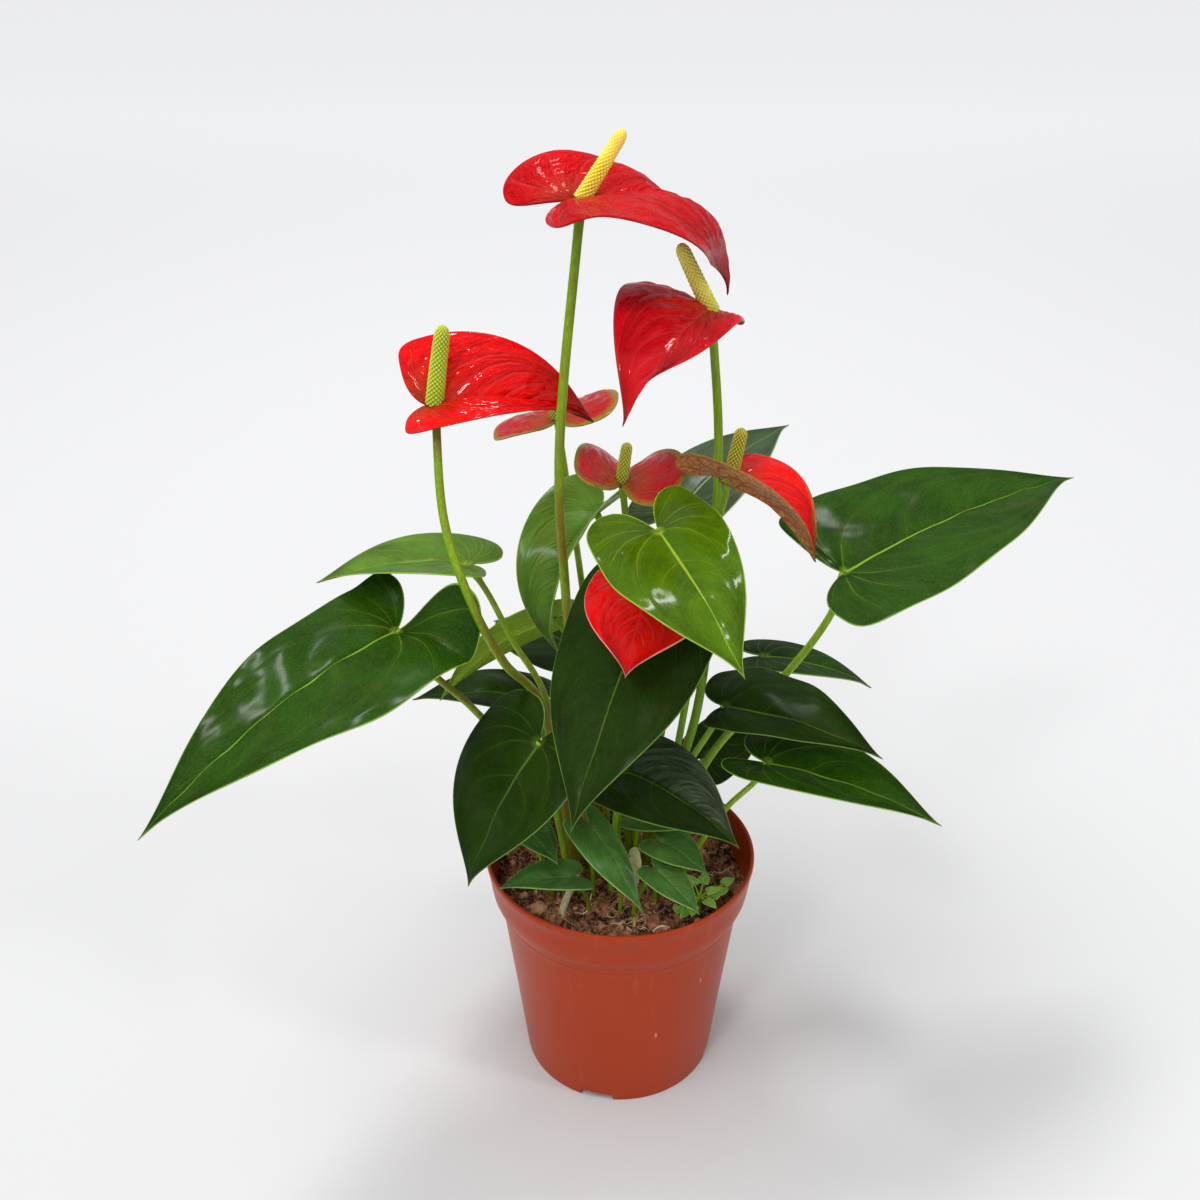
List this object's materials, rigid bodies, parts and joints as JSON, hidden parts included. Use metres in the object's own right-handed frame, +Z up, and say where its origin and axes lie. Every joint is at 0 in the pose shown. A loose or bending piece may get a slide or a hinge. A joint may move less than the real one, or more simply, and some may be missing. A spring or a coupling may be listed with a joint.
{
  "type": "potted anthurium",
  "caption": "Flowering anthurium with heart-shaped leaves and glossy red spathes, growing in a round tapered nursery pot.",
  "frame": {"origin": "centre of the pot's foot, on the surface the pot stands on", "axes": "+Z up along the pot's axis; -Y towards the side that shows most flowers; +X to the right seen from there"},
  "size_m": [0.3701, 0.2204, 0.4156],
  "materials": {
    "pot": "satin",
    "soil": "matte",
    "leaf": "satin",
    "young_leaf": "satin",
    "stalk": "satin",
    "spathe": "gloss",
    "spadix": "satin",
    "green_spadix": "satin",
    "sheath": "matte",
    "seedling": "satin"
  },
  "bodies": {
    "root": {"dry_sheath": "sheath", "flower_1_spadix": "spadix", "flower_1_spathe": "spathe", "flower_1_stalk": "stalk", "flower_2_spadix": "spadix", "flower_2_spathe": "spathe", "flower_2_stalk": "stalk", "flower_3_spadix": "green_spadix", "flower_3_spathe": "spathe", "flower_3_stalk": "stalk", "flower_4_spadix": "green_spadix", "flower_4_spathe": "spathe", "flower_4_stalk": "stalk", "flower_5_spadix": "green_spadix", "flower_5_spathe": "spathe", "flower_5_stalk": "stalk", "flower_6_spadix": "green_spadix", "flower_6_spathe": "spathe", "flower_6_stalk": "stalk", "flower_7_spadix": "green_spadix", "flower_7_spathe": "spathe", "flower_7_stalk": "stalk", "leaf_1": "leaf", "leaf_10": "leaf", "leaf_11": "leaf", "leaf_12": "leaf", "leaf_13": "leaf", "leaf_14": "leaf", "leaf_15": "leaf", "leaf_16": "leaf", "leaf_2": "leaf", "leaf_3": "young_leaf", "leaf_4": "leaf", "leaf_5": "leaf", "leaf_6": "leaf", "leaf_7": "leaf", "leaf_8": "leaf", "leaf_9": "leaf", "pot": "pot", "seedling": "seedling", "soil": "soil", "young_leaf_1": "leaf", "young_leaf_2": "leaf", "young_leaf_3": "leaf", "young_leaf_4": "leaf", "young_leaf_5": "leaf", "young_leaf_6": "leaf", "young_leaf_7": "young_leaf"}
  },
  "joints": []
}
